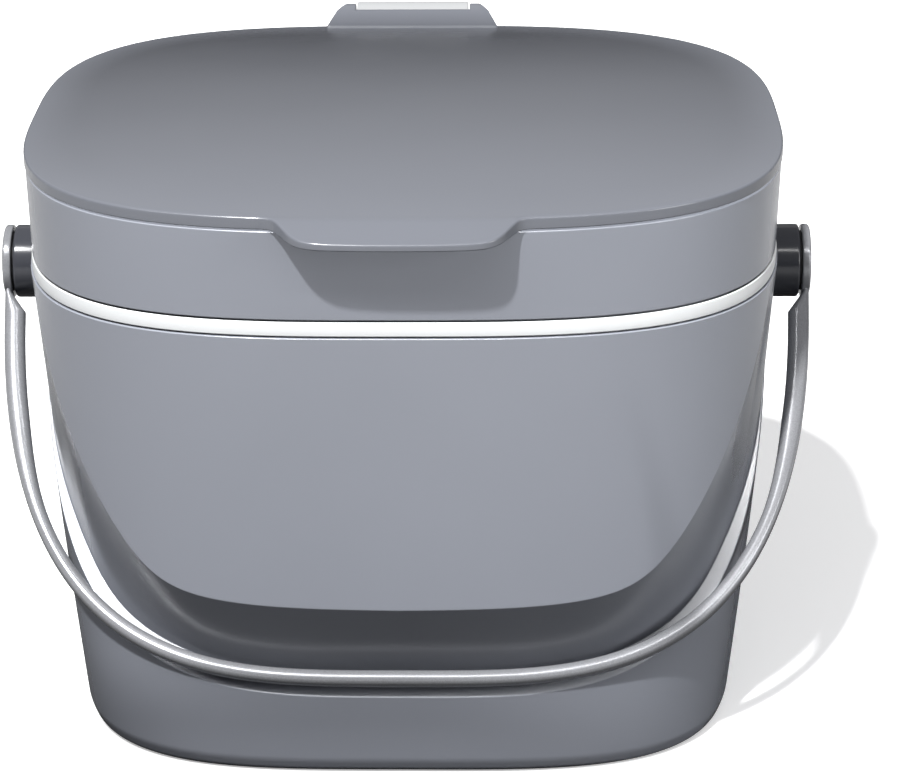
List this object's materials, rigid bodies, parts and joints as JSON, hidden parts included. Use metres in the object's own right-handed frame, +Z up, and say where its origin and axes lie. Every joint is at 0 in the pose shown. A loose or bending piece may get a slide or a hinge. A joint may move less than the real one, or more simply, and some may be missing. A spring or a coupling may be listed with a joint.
{
  "type": "compost caddy",
  "caption": "Countertop compost caddy: tapered squared-oval bucket with a light seal ring, lift-off collar, rear-hinged domed lid with a finger tab, and a swinging bail handle.",
  "frame": {"origin": "centre of the flat base, at table height", "axes": "+Z up, -Y towards the front with the finger tab, +X along the handle's pivot axis"},
  "size_m": [0.2596, 0.2516, 0.1915],
  "materials": {
    "charcoal_shell": "semi-gloss moulded plastic, cool charcoal grey",
    "light_ring": "satin light grey",
    "silver_handle": "metallic silver paint, satin",
    "dark_rubber": "matt black silicone",
    "dark_washer": "matt black",
    "steel": "plain stainless steel"
  },
  "bodies": {
    "bin": {"bin_body": "charcoal_shell", "seal_ring": "light_ring", "pivot_hub_left": "charcoal_shell", "pivot_hub_right": "charcoal_shell", "hub_nuts": "charcoal_shell", "friction_washers": "dark_washer"},
    "collar": {"lid_collar": "charcoal_shell", "hinge_block": "light_ring", "hinge_screws": "steel"},
    "lid": {"lid": "charcoal_shell", "lid_gasket": "dark_rubber", "hinge_pin": "steel"},
    "handle": {"handle": "silver_handle", "retaining_washers": "steel", "pivot_screws": "steel"}
  },
  "joints": [
    {"name": "collar_lift", "type": "slide", "parent": "bin", "child": "collar", "axis": [0, 0, 1], "range_m": [0, 0.06]},
    {"name": "lid_hinge", "type": "hinge", "parent": "collar", "child": "lid", "pos_m": [0, 0.121, 0.186], "axis": [-1, 0, 0], "range_deg": [0, 100]},
    {"name": "handle_pivot", "type": "hinge", "parent": "bin", "child": "handle", "pos_m": [0, 0, 0.136], "axis": [-1, 0, 0], "range_deg": [0, 273]}
  ]
}
